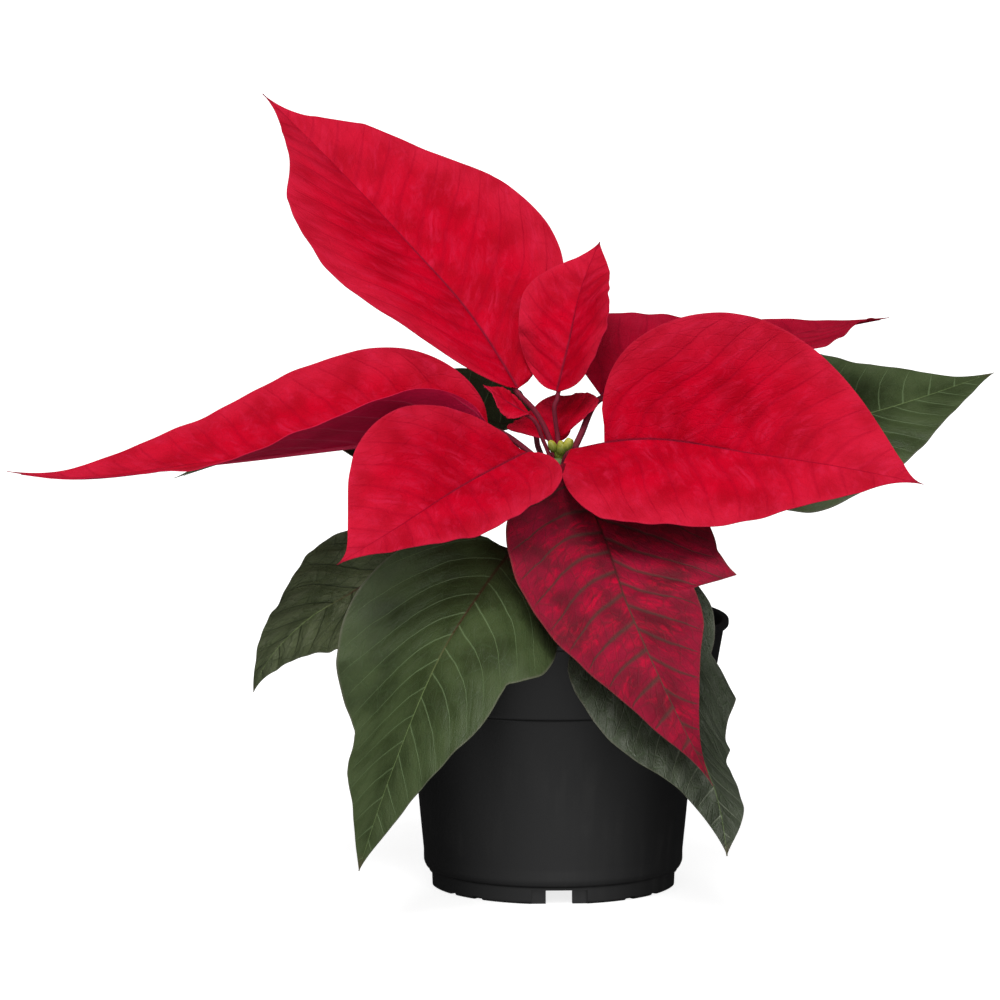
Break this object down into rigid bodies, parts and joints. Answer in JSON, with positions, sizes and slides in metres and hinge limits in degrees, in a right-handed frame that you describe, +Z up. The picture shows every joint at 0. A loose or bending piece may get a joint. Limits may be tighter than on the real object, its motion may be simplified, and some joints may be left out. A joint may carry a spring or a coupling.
{
  "type": "potted poinsettia",
  "caption": "A young poinsettia with large red bracts over green leaves and a small green flower cluster, growing on one stem in a round black nursery pot filled with soil.",
  "frame": {"origin": "The middle of the pot's foot, on the surface it stands on.", "axes": "+Z is up. -Y is the plant's front, the side pictured. +X is to the right seen from the front, along the longest spread of the bracts."},
  "size_m": [0.3424, 0.1919, 0.2654],
  "materials": {
    "pot_plastic": "thin moulded black plastic, satin",
    "soil": null,
    "stem": null,
    "cyathia": null,
    "bract": null,
    "bract_dull": null,
    "bract_turning": null,
    "leaf": null
  },
  "bodies": {
    "root": {"pot": "pot_plastic", "potting_soil": "soil", "stem": "stem", "cyathia": "cyathia", "bract_back_left": "bract", "bract_centre_back": "bract", "bract_small_back": "bract", "bract_small_left": "bract", "bract_left": "bract", "bract_front_left": "bract", "bract_right": "bract", "bract_back_right": "bract_dull", "bract_front": "bract_turning", "leaf_front_left": "leaf", "leaf_left": "leaf", "leaf_front_right": "leaf", "leaf_right": "leaf", "leaf_back_left": "leaf", "leaf_back": "leaf"}
  },
  "joints": []
}
